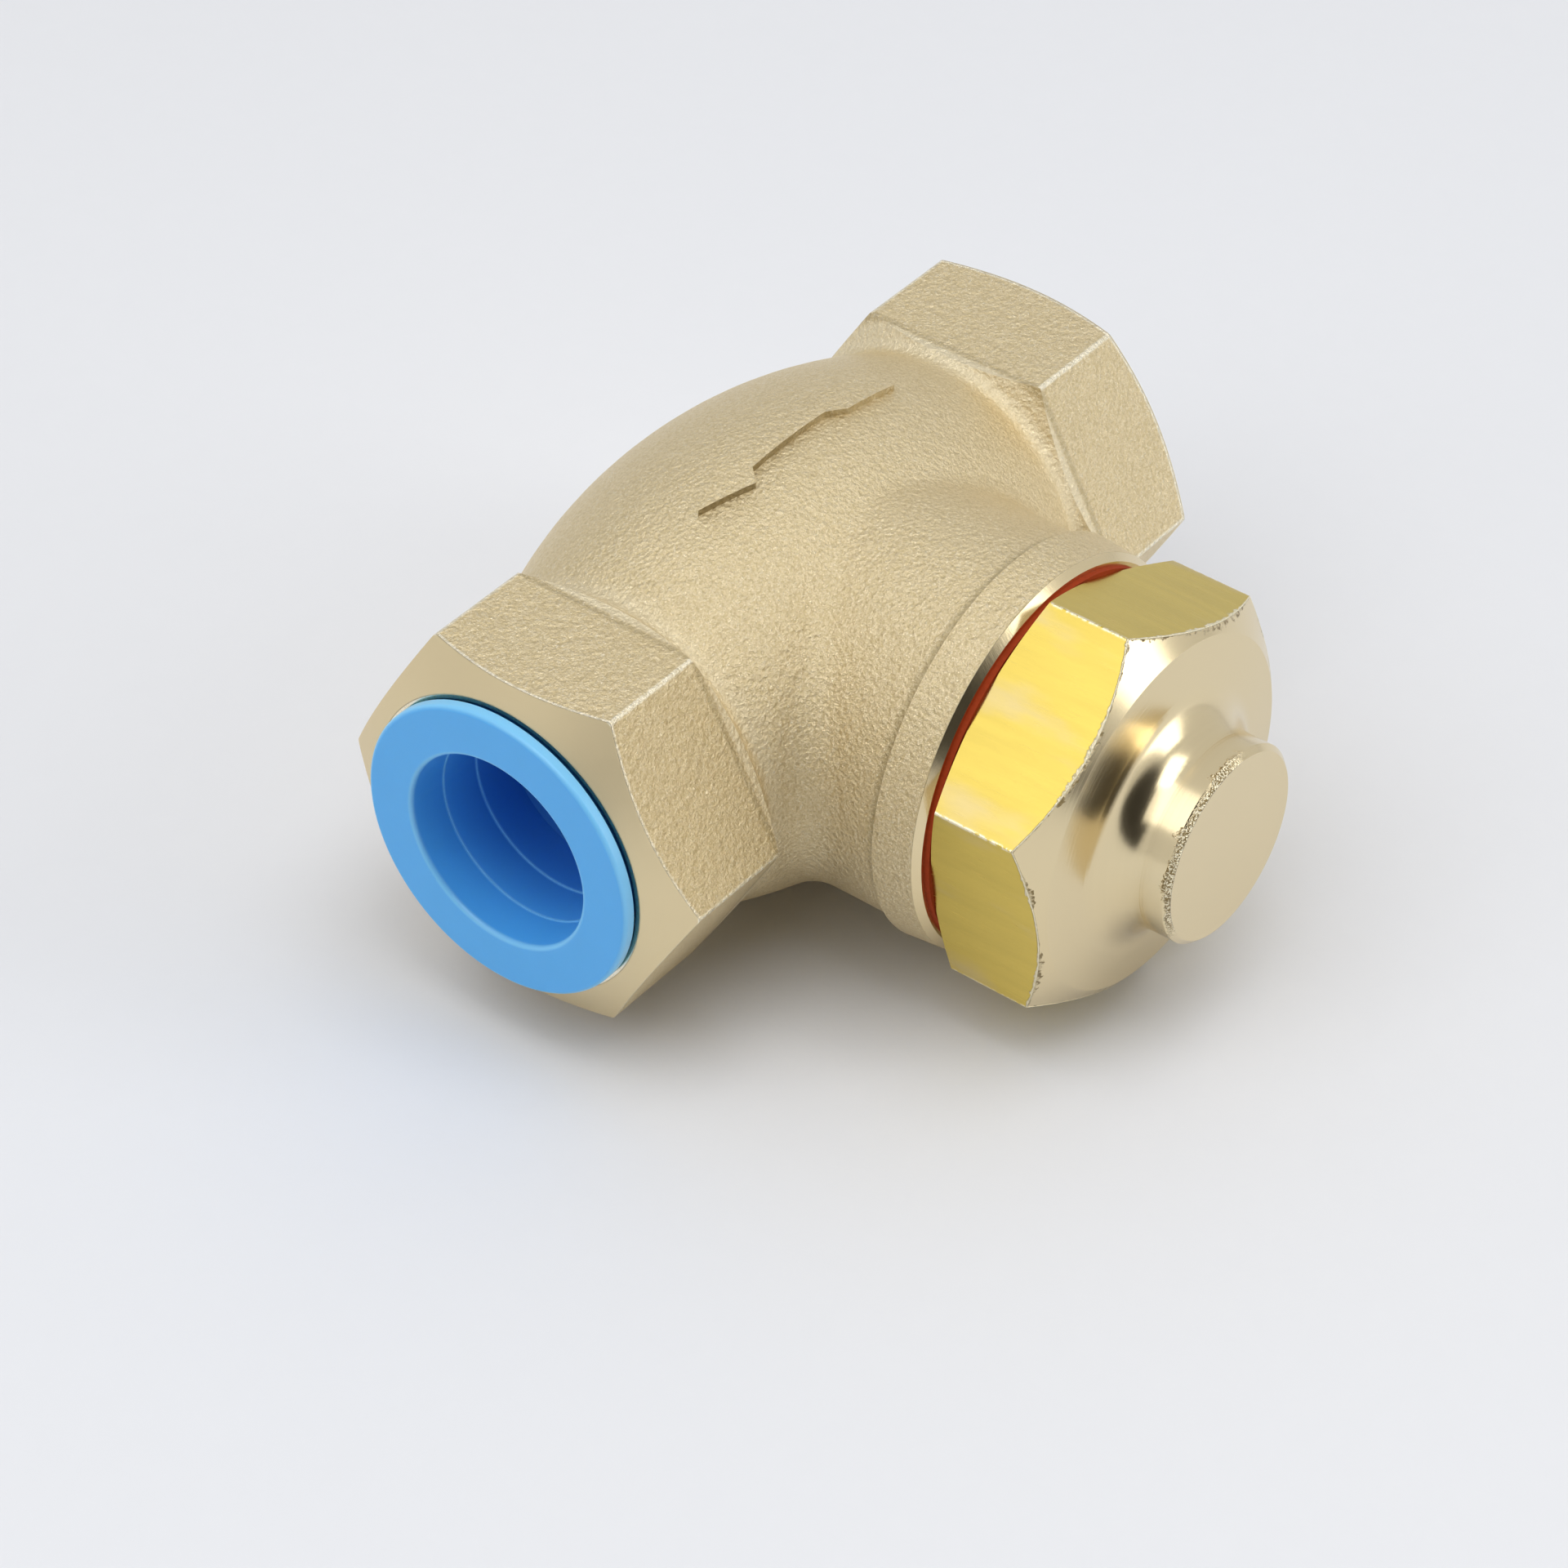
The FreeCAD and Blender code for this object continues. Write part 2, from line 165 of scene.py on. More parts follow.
floor_colour = (0.80, 0.81, 0.835)
backdrop_colour = (0.81, 0.825, 0.85)
floor_half = 3.0
fade_from, fade_to = 0.45, 1.10
floor_mesh = bpy.data.meshes.new("floor")
drawn = bmesh.new()
bmesh.ops.create_grid(drawn, x_segments=1, y_segments=1, size=floor_half)
bmesh.ops.translate(drawn, verts=drawn.verts, vec=(CROSSING_X, 0, FLOOR_Z))
drawn.to_mesh(floor_mesh)
drawn.free()
floor = bpy.data.objects.new("floor", floor_mesh)
bpy.context.scene.collection.objects.link(floor)

paper = Finish("pale_paper")
fibre = paper.noise(3 * MM, detail=4)
paper.set(Base_Color=paper.mix(fibre, floor_colour, [c * 0.985 for c in floor_colour]), Roughness=0.9)
paper.set(Normal=paper.bump(fibre, 0.05 * MM))
from_valve = paper.radius(paper.math("SUBTRACT", paper.x, CROSSING_X), paper.y)
is_seen = paper.node("ShaderNodeLightPath", {}).outputs["Is Camera Ray"]
far_and_seen = paper.times(paper.rise(from_valve, fade_from, fade_to), is_seen)
glow = paper.node("ShaderNodeEmission", {"Color": (*backdrop_colour, 1.0), "Strength": 1.0})
faded = paper.node("ShaderNodeMixShader", {0: far_and_seen})
paper.links.new(paper.shader.outputs["BSDF"], faded.inputs[1])
paper.links.new(glow.outputs["Emission"], faded.inputs[2])
paper.links.new(faded.outputs["Shader"], paper.nodes["Material Output"].inputs["Surface"])
dress(floor, paper)

world = bpy.data.worlds.new("soft_sky")
bpy.context.scene.world = world
world.use_nodes = True
sky_nodes, sky_links = world.node_tree.nodes, world.node_tree.links
sky = sky_nodes["Background"]
dark_room = Vector((-0.650, -0.660, 0.377))
sky_bright = (0.69, 0.693, 0.705, 1.0)
sky_dark = (0.035, 0.033, 0.030, 1.0)
ways = sky_nodes.new("ShaderNodeTexCoord").outputs["Generated"]
toward = sky_nodes.new("ShaderNodeVectorMath")
toward.operation = "DOT_PRODUCT"
toward.inputs[1].default_value = dark_room
sky_links.new(ways, toward.inputs[0])
shade = sky_nodes.new("ShaderNodeMapRange")
shade.interpolation_type = "SMOOTHSTEP"
shade.inputs["From Min"].default_value = 0.62
shade.inputs["From Max"].default_value = 0.80
sky_links.new(toward.outputs["Value"], shade.inputs["Value"])
tone = sky_nodes.new("ShaderNodeMix")
tone.data_type = "RGBA"
tone.inputs[6].default_value = sky_bright
tone.inputs[7].default_value = sky_dark
sky_links.new(shade.outputs["Result"], tone.inputs[0])
seen_sky = sky_nodes.new("ShaderNodeMix")
seen_sky.data_type = "RGBA"
seen_sky.inputs[7].default_value = (*backdrop_colour, 1.0)
sky_links.new(sky_nodes.new("ShaderNodeLightPath").outputs["Is Camera Ray"], seen_sky.inputs[0])
sky_links.new(tone.outputs[2], seen_sky.inputs[6])
sky_links.new(seen_sky.outputs[2], sky.inputs["Color"])
sky.inputs["Strength"].default_value = 1.0


def lamp(name, azimuth, elevation, distance, width, height, watts):
    """An area lamp seen from the valve at that azimuth from +X and that elevation, in degrees."""
    data = bpy.data.lights.new(name, "AREA")
    data.shape = "RECTANGLE"
    data.size = width
    data.size_y = height
    data.energy = watts
    made = bpy.data.objects.new(name, data)
    aim = Vector((CROSSING_X, 0, 0))
    level_reach = math.cos(math.radians(elevation))
    made.location = aim + distance * Vector((
        level_reach * math.cos(math.radians(azimuth)), level_reach * math.sin(math.radians(azimuth)),
        math.sin(math.radians(elevation))))
    made.rotation_euler = (aim - made.location).to_track_quat("-Z", "Y").to_euler()
    bpy.context.scene.collection.objects.link(made)
    return made


lamp("ceiling_lamp", -100, 76, 1.0, 0.62, 0.62, 2.7)
lamp("strip_lamp", -62, 18, 1.0, 0.35, 0.9, 2.3)
lamp("key_lamp", 176, 54, 1.0, 0.85, 0.85, 2.9)

camera_data = bpy.data.cameras.new("camera")
camera = bpy.data.objects.new("camera", camera_data)
bpy.context.scene.collection.objects.link(camera)
bpy.context.scene.camera = camera
camera_focal_mm = 117.14
camera_offset = Vector((-0.27591, -0.21160, 0.27503))
camera_data.sensor_width = 36.0
camera_data.lens = camera_focal_mm
camera_data.clip_start = 0.01
camera_data.clip_end = 50.0
camera_roll = math.radians(0.84)
camera.location = Vector((CROSSING_X, 0, 0)) + camera_offset
camera_forward = Vector((0.60719, 0.46491, -0.64435))
level = camera_forward.to_track_quat("-Z", "Y")
camera.rotation_euler = (level @ Quaternion((0, 0, 1), camera_roll)).to_euler()
bpy.context.scene.view_settings.view_transform = "Standard"

# The body: one brass casting, shot-blasted to a pale grain whose faint sparkle is painted glints.
# The chamfers of the wrench ends, the ports, the rim of the neck and the seat are machined
# after casting, so they are smoother, and handling has rubbed the corners of the hexagons bright, which is
# also painted as a highlight.

HEX_CORNER = 32.0 * MM / math.sqrt(3)
HEX_BACK = RUN_LENGTH / 2 - 12.8 * MM
END_FACE_RADIUS = 14.2 * MM
HEX_CHAMFER = math.tan(math.radians(29.0))
PORT_DEPTH = 14.0 * MM
NECK_FACE = -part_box("bonnet_gasket")[1].y
NECK_BORE_END = NECK_FACE - 10.4 * MM
RIM_BEVEL = 0.6 * MM
NECK_BORE = 16.1 * MM
CREASE = NECK_FACE - 4.4 * MM
NECK_RADIUS = 18.0 * MM
SEAT_HEIGHT = 1.0 * MM
SEAT_LIP = 10.75 * MM
ARROW_FOOT = 13.0 * MM
ARROW_REACH = 14.0 * MM
cast_colour = (0.81, 0.675, 0.425)
cast_hollow_colour = (0.68, 0.55, 0.31)
machined_colour = (0.80, 0.665, 0.41)
# Of the last three colours, the first is wear and also a painted highlight on the hexagons' edges, the second
# paints glints and a fillet's highlight, and the third paints shade in creases and on the arrow's sides.
rubbed_highlight_colour = (0.98, 0.90, 0.70)
painted_glint_colour = (0.97, 0.88, 0.66)
painted_shade_colour = (0.30, 0.235, 0.12)


def brass_casting(name):
    cast = Finish(name)
    from_crossing = cast.math("SUBTRACT", cast.x, CROSSING_X)
    along = cast.math("ABSOLUTE", from_crossing)
    from_run = cast.radius(cast.y, cast.z)
    from_bonnet_axis = cast.radius(from_crossing, cast.z)
    height = cast.times(cast.y, -1.0)
    orange_peel = cast.noise(0.75 * MM, detail=3, roughness=0.6)
    pitting = cast.noise(0.30 * MM, detail=4, roughness=0.75)
    grain = cast.noise(0.12 * MM, detail=2, roughness=0.7)
    patches = cast.noise(2.2 * MM, detail=3)
    chamfer_line = cast.add(along, cast.times(cast.math("SUBTRACT", from_run, END_FACE_RADIUS), HEX_CHAMFER))
    from_chamfer = cast.math("SUBTRACT", chamfer_line, RUN_LENGTH / 2)
    turned_end = cast.rise(from_chamfer, -0.12 * MM, -0.02 * MM)
    near_port = cast.rise(along, RUN_LENGTH / 2 - PORT_DEPTH - 0.1 * MM, RUN_LENGTH / 2 - PORT_DEPTH)
    in_port = cast.times(near_port, cast.rise(from_run, END_FACE_RADIUS, END_FACE_RADIUS - 0.1 * MM))
    rim = cast.rise(height, NECK_FACE - RIM_BEVEL - 0.05 * MM, NECK_FACE - RIM_BEVEL)
    in_neck = cast.times(
        cast.rise(height, NECK_BORE_END - 0.2 * MM, NECK_BORE_END),
        cast.rise(from_bonnet_axis, NECK_BORE + 0.2 * MM, NECK_BORE))
    on_seat = cast.times(
        cast.rise(height, SEAT_HEIGHT, SEAT_HEIGHT + 0.1 * MM),
        cast.rise(from_bonnet_axis, SEAT_LIP + 0.15 * MM, SEAT_LIP))
    machined = cast.most(cast.most(turned_end, in_port), cast.most(cast.most(rim, in_neck), on_seat))
    on_hexagon = cast.rise(along, HEX_BACK - 0.3 * MM, HEX_BACK + 0.2 * MM)
    corner = cast.times(cast.rise(from_run, HEX_CORNER - 0.18 * MM, HEX_CORNER - 0.08 * MM), on_hexagon)
    front_edge = cast.times(cast.rise(from_chamfer, -0.40 * MM, -0.26 * MM), cast.rise(turned_end, 1, 0))
    # Partly wear and partly painted highlight: the hexagons' corners and front edges are paler and smoother.
    rubbed_and_highlit = cast.times(
        cast.most(corner, cast.times(front_edge, on_hexagon)), cast.rise(pitting, 0.34, 0.52, 0.3, 1.0))
    dimples = cast.dents(0.42 * MM)
    tone = cast.add(cast.times(pitting, 0.6), cast.times(grain, 0.4))
    skin = cast.mix(cast.rise(tone, 0.40, 0.56), cast_hollow_colour, cast_colour)
    # Painted glints: random specks of paler colour stand in for light caught by the grain's facets; the skin
    # is also smoother there.
    glint_specks = cast.times(cast.rise(grain, 0.54, 0.64), cast.rise(pitting, 0.46, 0.56))
    skin = cast.mix(glint_specks, skin, painted_glint_colour)
    # Painted highlight: a paler band along the root fillet behind each hexagon.
    root_fillet_highlight = cast.times(
        cast.rise(along, HEX_BACK - 4.5 * MM, HEX_BACK - 1.4 * MM),
        cast.rise(along, HEX_BACK - 0.3 * MM, HEX_BACK - 0.7 * MM))
    skin = cast.mix(cast.times(root_fillet_highlight, 0.45), skin, painted_glint_colour)
    # Painted shade: a dark line where each hexagon's back shoulder meets the fillet.
    from_step = cast.math("ABSOLUTE", cast.math("SUBTRACT", along, HEX_BACK - 0.1 * MM))
    skin = cast.mix(cast.rise(from_step, 0.50 * MM, 0.10 * MM, 0.0, 0.28), skin, painted_shade_colour)
    # Painted shade in the crease behind the neck's collar.
    behind_collar = cast.times(
        cast.rise(height, CREASE - 1.3 * MM, CREASE - 0.4 * MM), cast.rise(height, CREASE + 0.1 * MM, CREASE))
    crease = cast.times(
        behind_collar, cast.rise(from_bonnet_axis, NECK_RADIUS + 0.6 * MM, NECK_RADIUS + 0.3 * MM))
    skin = cast.mix(cast.times(crease, 0.5), skin, painted_shade_colour)
    # Painted shade on the raised arrow's sides that face away from above, fading along the run.
    on_arrow = cast.times(
        cast.rise(cast.z, ARROW_FOOT, ARROW_FOOT + 0.5 * MM),
        cast.rise(along, ARROW_REACH, ARROW_REACH - 0.5 * MM))
    shaded_arrow_side = cast.times(on_arrow, cast.rise(cast.upward, 0.55, 0.30))
    shaded_arrow_side = cast.times(shaded_arrow_side, cast.rise(from_crossing, -6.0 * MM, 12.0 * MM, 1.0, 0.35))
    skin = cast.mix(cast.times(shaded_arrow_side, 0.85), skin, painted_shade_colour)
    skin = cast.mix(machined, skin, machined_colour)
    cut_rough = cast.rise(turned_end, 0, 1, 0.18, 0.38)
    skin_rough = cast.rise(glint_specks, 0, 1, 0.42, 0.20)
    rough = cast.mix(machined, skin_rough, cast.add(cut_rough, cast.times(patches, 0.08)))
    cast.set(
        Base_Color=cast.mix(rubbed_and_highlit, skin, rubbed_highlight_colour),
        Metallic=1.0,
        Roughness=cast.times(rough, cast.rise(rubbed_and_highlit, 0, 1, 1.0, 0.65)))
    peel = cast.times(orange_peel, cast.rise(on_hexagon, 0, 1, 0.50, 0.70))
    dented = cast.times(dimples, cast.rise(on_hexagon, 0, 1, 0.24, 0.14))
    blasted = cast.add(cast.add(peel, dented), cast.add(cast.times(pitting, 0.35), cast.times(grain, 0.18)))
    tool_marks = cast.times(cast.rings(from_run, along, 0.22 * MM), 0.02)
    relief = cast.mix(machined, blasted, tool_marks)
    cast.set(Normal=cast.bump(relief, 0.34 * MM))
    return cast


dress(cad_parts["valve_body"], brass_casting("blasted_cast_brass"))

# The threads of the ports and of the neck: pipe threads G 3/4 and the metric thread M32 by 1.5,
# cut right-handed into the casting. Each is one ridge that winds inward from the wall and runs out
# smoothly at both ends.


def thread_ridge(name, body, foot, crest, half_foot, half_crest, start, pitch, turns, on_bonnet_axis):
    """One tooth's outline, drawn across the axis at its first turn and spun along the helix."""
    if on_bonnet_axis:
        axis, side, middle = Vector((0, -1, 0)), Vector((1, 0, 0)), Vector((CROSSING_X, 0, 0))
    else:
        axis, side, middle = Vector((1, 0, 0)), Vector((0, 1, 0)), Vector((0, 0, 0))
    near_crest = crest + (foot - crest) * 0.12
    outline = [(foot, -half_foot), (near_crest, -half_crest), (crest, -half_crest * 0.4),
               (crest, half_crest * 0.4), (near_crest, half_crest), (foot, half_foot)]
    drawn = bmesh.new()
    corners = [drawn.verts.new(middle + side * r + axis * (start + h)) for r, h in outline]
    edges = [drawn.edges.new((corners[k - 1], corners[k])) for k in range(len(corners))]
    steps = round(turns * 72)
    bmesh.ops.spin(
        drawn, geom=corners + edges, cent=middle, axis=axis, dvec=axis * (pitch * turns / steps),
        angle=math.tau * turns, steps=steps, use_duplicate=False)
    bmesh.ops.holes_fill(drawn, edges=[e for e in drawn.edges if e.is_boundary], sides=0)
    across = axis.cross(side)
    for v in drawn.verts:
        offset = v.co - middle
        out = offset - axis * offset.dot(axis)
        angle_turns = math.atan2(out.dot(across), out.dot(side)) / math.tau
        rise_turns = (offset.dot(axis) - start) / pitch
        turn = angle_turns + round(rise_turns - angle_turns)
        left = max(0.0, min(turn, turns - turn, 0.4) / 0.4)
        faded = foot + (out.length - foot) * left
        v.co = middle + axis * offset.dot(axis) + out.normalized() * faded
    bmesh.ops.recalc_face_normals(drawn, faces=drawn.faces)
    mesh = bpy.data.meshes.new(name)
    drawn.to_mesh(mesh)
    drawn.free()
    for face in mesh.polygons:
        face.use_smooth = True
    made = bpy.data.objects.new(name, mesh)
    bpy.context.scene.collection.objects.link(made)
    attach(made, body)
    return made


PIPE_PITCH = 25.4 / 14 * MM
PORT_MAJOR = 13.22 * MM
PORT_MINOR = 12.06 * MM
NECK_MAJOR = 16.0 * MM
NECK_MINOR = 15.2 * MM
BONNET_PITCH = 1.5 * MM
NECK_THREAD_START = NECK_FACE - 9.4 * MM
cut_brass_colour = (0.84, 0.68, 0.36)

cut_brass = Finish("cut_brass_thread")
swarf_lines = cut_brass.noise(0.4 * MM, detail=3)
cut_brass.set(
    Base_Color=cut_brass.mix(swarf_lines, cut_brass_colour, [c * 0.9 for c in cut_brass_colour]),
    Metallic=1.0,
    Roughness=cut_brass.add(0.22, cut_brass.times(swarf_lines, 0.12)))
cut_brass.set(Normal=cut_brass.bump(swarf_lines, 0.01 * MM))
port_turns = 6.4
port_run_in = 1.3 * MM
for port, first in (("inlet", -port_run_in - PIPE_PITCH * port_turns), ("outlet", port_run_in - RUN_LENGTH)):
    ridge = thread_ridge(
        port + "_thread", "valve_body", PORT_MAJOR + 0.03 * MM, PORT_MINOR, 0.76 * MM, 0.17 * MM,
        first, PIPE_PITCH, port_turns, False)
    dress(ridge, cut_brass)
neck_thread = thread_ridge(
    "neck_thread", "valve_body", NECK_MAJOR + 0.03 * MM, NECK_MINOR, 0.62 * MM, 0.15 * MM,
    NECK_THREAD_START + BONNET_PITCH / 2, BONNET_PITCH, 5.6, True)
dress(neck_thread, cut_brass)

# The seat partition: the Z-shaped wall inside the casting that parts inlet from outlet.
# It has the body's blasted skin, and the lip of its raised seat is faced in the lathe.

dress(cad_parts["seat_partition"], brass_casting("cast_brass_inside"))

# The disc group: a turned brass disc with stem and stud, a rubber ring in its cup, and the washer
# and hexagon nut that clamp the ring. It slides in the bonnet and shuts the seat.

DISC_AXIS_X = CROSSING_X
STUD_RADIUS = 3.0 * MM
stud_top = 1.3 * MM
turned_disc_colour = (0.82, 0.66, 0.33)


def turned_brass(name, threaded):
    turned = Finish(name)
    out = turned.radius(turned.math("SUBTRACT", turned.x, DISC_AXIS_X), turned.z)
    up = turned.times(turned.y, -1.0)
    rings = turned.rings(out, up, 0.18 * MM)
    turned.set(
        Base_Color=turned.mix(rings, turned_disc_colour, [c * 0.88 for c in turned_disc_colour]),
        Metallic=1.0,
        Roughness=turned.add(0.20, turned.times(rings, 0.14)))
    relief = turned.times(rings, 0.06)
    if threaded:
        around = turned.math("ARCTAN2", turned.z, turned.math("SUBTRACT", turned.x, DISC_AXIS_X))
        helix = turned.add(turned.times(up, math.tau / (1.0 * MM)), turned.times(around, -1.0))
        groove = turned.math("ABSOLUTE", turned.math("SINE", turned.times(helix, 0.5)))
        on_stud = turned.times(
            turned.rise(out, STUD_RADIUS + 0.05 * MM, STUD_RADIUS + 0.02 * MM),
            turned.rise(up, stud_top, stud_top - 0.1 * MM))
        relief = turned.add(relief, turned.times(groove, on_stud))
    turned.set(Normal=turned.bump(relief, 0.25 * MM))
    return turned


for node, threaded in (("disc_holder", True), ("seal_washer", False), ("seal_nut", False)):
    dress(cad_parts[node], turned_brass("turned_" + node, threaded))

nitrile_colour = (0.022, 0.022, 0.024)
nitrile = Finish("black_nitrile")
bloom = nitrile.noise(0.6 * MM, detail=4)
nitrile.set(
    Base_Color=nitrile.mix(bloom, nitrile_colour, [c * 1.9 for c in nitrile_colour]),
    Roughness=nitrile.add(0.5, nitrile.times(bloom, 0.2)))
nitrile.set(Normal=nitrile.bump(bloom, 0.02 * MM))
dress(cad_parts["disc_seal"], nitrile)

# The guide bush: a plain sleeve of white acetal, turned from rod.
# It is pressed into the bonnet's boss, and the disc's stem slides in it.

acetal_colour = (0.80, 0.79, 0.74)
acetal = Finish("white_acetal")
bush_radius = acetal.radius(acetal.math("SUBTRACT", acetal.x, CROSSING_X), acetal.z)
feed = acetal.rings(bush_radius, acetal.y, 0.15 * MM)
acetal.set(
    Base_Color=acetal.mix(feed, acetal_colour, [c * 0.94 for c in acetal_colour]),
    Roughness=0.38,
    Subsurface_Weight=0.15,
    Subsurface_Radius=(1.0, 0.9, 0.8),
    Subsurface_Scale=0.5 * MM)
acetal.set(Normal=acetal.bump(feed, 0.006 * MM))
dress(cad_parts["guide_bush"], acetal)

# The return spring: stainless wire wound right-handed, with a closed turn at each end.
# It stands on the disc's back and is held by the bonnet's pocket. In the valve it shortens as the disc lifts;
# here it is wound once, at its rest length, and fixed to the body.

WIRE_RADIUS = 0.5 * MM
COIL_RADIUS = 9.42 * MM
DISC_BACK = 7.5 * MM
POCKET_END = 33.0 * MM
SPRING_LOW = DISC_BACK + WIRE_RADIUS
SPRING_HIGH = POCKET_END - WIRE_RADIUS
CLOSED_PITCH = 1.1 * MM
OPEN_TURNS = 6
wire_steps = 48
open_pitch = (SPRING_HIGH - SPRING_LOW - 2 * CLOSED_PITCH) / OPEN_TURNS
spring_axis = Vector((0, -1, 0))
coil = bmesh.new()
bmesh.ops.create_circle(coil, segments=14, radius=WIRE_RADIUS, cap_ends=False)
wire_end = Vector((CROSSING_X + COIL_RADIUS, -SPRING_LOW, 0))
bmesh.ops.translate(coil, verts=coil.verts, vec=wire_end)
section = coil.verts[:] + coil.edges[:]
for turns, pitch in ((1, CLOSED_PITCH), (OPEN_TURNS, open_pitch), (1, CLOSED_PITCH)):
    wound = bmesh.ops.spin(
        coil, geom=section, cent=(CROSSING_X, 0, 0), axis=spring_axis,
        dvec=spring_axis * (pitch / wire_steps), angle=math.tau * turns, steps=wire_steps * turns,
        use_duplicate=False)
    section = wound["geom_last"]
bmesh.ops.holes_fill(coil, edges=[e for e in coil.edges if e.is_boundary], sides=0)
bmesh.ops.recalc_face_normals(coil, faces=coil.faces)
spring_mesh = bpy.data.meshes.new("wound_spring")
coil.to_mesh(spring_mesh)
coil.free()
for face in spring_mesh.polygons:
    face.use_smooth = True
wound_spring = bpy.data.objects.new("wound_spring", spring_mesh)
bpy.context.scene.collection.objects.link(wound_spring)
drawn_wire = Finish("stainless_wire")
die_marks = drawn_wire.noise(0.12 * MM, detail=3)
drawn_wire.set(
    Base_Color=drawn_wire.mix(die_marks, (0.62, 0.62, 0.64), (0.50, 0.50, 0.51)),
    Metallic=1.0,
    Roughness=drawn_wire.add(0.16, drawn_wire.times(die_marks, 0.15)))
drawn_wire.set(Normal=drawn_wire.bump(die_marks, 0.004 * MM))
dress(wound_spring, drawn_wire)
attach(wound_spring, "valve_body")
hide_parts("return_spring")
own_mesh(wound_spring)

# The bonnet: turned from drawn hexagonal bar, so its flats keep the bar's lengthwise die lines
# and its deep yellow. The front, the stub and its fillet are turned bright and paler, and the tool
# has torn small chips along the front edges. It screws into the neck by the skirt behind it.

BONNET_FLAT = 17.0 * MM
BONNET_CORNER = 2 * BONNET_FLAT / math.sqrt(3)
BONNET_BACK = -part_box("bonnet_gasket")[0].y
FIRST_FLAT_TURN = 9.8
CORNER_FRONT = BONNET_BACK + 8.76 * MM
BONNET_CHAMFER = math.tan(math.radians(36.0))
STUB_RADIUS = 9.1 * MM
STUB_END = BONNET_BACK + 18.0 * MM
flat_colour = (0.735, 0.560, 0.122)
tarnish_colour = (0.66, 0.53, 0.26)
turned_colour = (0.80, 0.67, 0.42)
chip_colour = (0.30, 0.22, 0.10)
bright_chip_colour = (0.95, 0.86, 0.62)

bar = Finish("drawn_and_turned_brass")
bar_x = bar.math("SUBTRACT", bar.x, CROSSING_X)
bar_radius = bar.radius(bar_x, bar.z)
bar_height = bar.times(bar.y, -1.0)
across = 0.0
for k in range(3):
    turn = math.radians(FIRST_FLAT_TURN + 60 * k)
    along_flat_normal = bar.add(bar.times(bar_x, math.cos(turn)), bar.times(bar.z, math.sin(turn)))
    across = bar.most(across, bar.math("ABSOLUTE", along_flat_normal))
under_flat = bar.math("SUBTRACT", BONNET_FLAT, across)
cone_line = bar.add(bar_height, bar.times(bar.math("SUBTRACT", bar_radius, BONNET_CORNER), BONNET_CHAMFER))
short_of_cone = bar.math("SUBTRACT", CORNER_FRONT, cone_line)
tears = bar.noise(0.5 * MM, detail=4, roughness=0.7)
fine_tears = bar.noise(0.18 * MM, detail=3)
turned_share = bar.rise(under_flat, 0.05 * MM, 0.11 * MM)
die_lines = bar.noise(0.10 * MM, detail=3, stretch=(1, 30, 1))
wide_lines = bar.noise(1.4 * MM, detail=3, stretch=(1, 9, 1))
stain = bar.noise(5 * MM, detail=3, stretch=(1, 3, 1))
flat_tone = bar.mix(bar.rise(wide_lines, 0.30, 0.70), [c * 0.93 for c in flat_colour], flat_colour)
flat_tone = bar.mix(bar.rise(stain, 0.52, 0.74, 0.0, 0.8), flat_tone, tarnish_colour)
rings = bar.rings(bar_radius, bar_height, 0.25 * MM)
turned_tone = bar.mix(rings, turned_colour, [c * 0.95 for c in turned_colour])
torn_here = bar.rise(bar.noise(3.5 * MM, detail=2), 0.44, 0.62)
tear_depth = bar.times(bar.math("SUBTRACT", tears, 0.36), bar.add(0.25, torn_here))
on_flat_edge = bar.rise(bar.add(short_of_cone, bar.times(tear_depth, -0.9 * MM)), 0.05 * MM, 0.0)
on_cone_edge = bar.times(
    bar.rise(bar.add(under_flat, bar.times(tear_depth, -1.5 * MM)), 0.05 * MM, 0.0),
    bar.rise(bar_height, CORNER_FRONT - 1.0 * MM, CORNER_FRONT - 0.5 * MM))
torn_edge = bar.times(on_flat_edge, bar.rise(turned_share, 1, 0))
cone_chips = bar.times(bar.times(on_cone_edge, turned_share), bar.rise(tears, 0.50, 0.58))
upper_left = bar.add(bar.times(bar_x, -0.85), bar.times(bar.z, 0.53))
torn_height = bar.add(bar_height, bar.times(tear_depth, 2.2 * MM))
stub_rim = bar.times(
    bar.rise(torn_height, STUB_END - 0.35 * MM, STUB_END - 0.15 * MM),
    bar.rise(bar_radius, STUB_RADIUS - 0.60 * MM, STUB_RADIUS - 0.45 * MM))
stub_chips = bar.times(stub_rim, bar.rise(upper_left, 0.30 * STUB_RADIUS, 0.70 * STUB_RADIUS))
worn_corner = bar.times(
    bar.rise(bar_radius, BONNET_CORNER - 0.14 * MM, BONNET_CORNER - 0.04 * MM), bar.rise(tears, 0.40, 0.56))
chips = bar.most(cone_chips, bar.times(stub_chips, bar.rise(fine_tears, 0.46, 0.54)))
bright_stub = bar.times(stub_chips, bar.rise(fine_tears, 0.54, 0.46))
bright_chips = bar.most(bar.most(torn_edge, worn_corner), bright_stub)
colour = bar.mix(turned_share, flat_tone, turned_tone)
colour = bar.mix(bright_chips, colour, bright_chip_colour)
bar.set(
    Base_Color=bar.mix(chips, colour, chip_colour),
    Metallic=1.0,
    Roughness=bar.add(bar.rise(turned_share, 0, 1, 0.22, 0.16), bar.times(die_lines, 0.08)))
flat_relief = bar.times(die_lines, bar.rise(turned_share, 0, 1, 0.04, 0.0))
turned_relief = bar.times(rings, bar.rise(turned_share, 0, 1, 0.0, 0.03))
torn = bar.most(bar.most(stub_chips, torn_edge), bar.times(on_cone_edge, turned_share))
torn_relief = bar.times(bar.times(fine_tears, torn), 0.9)
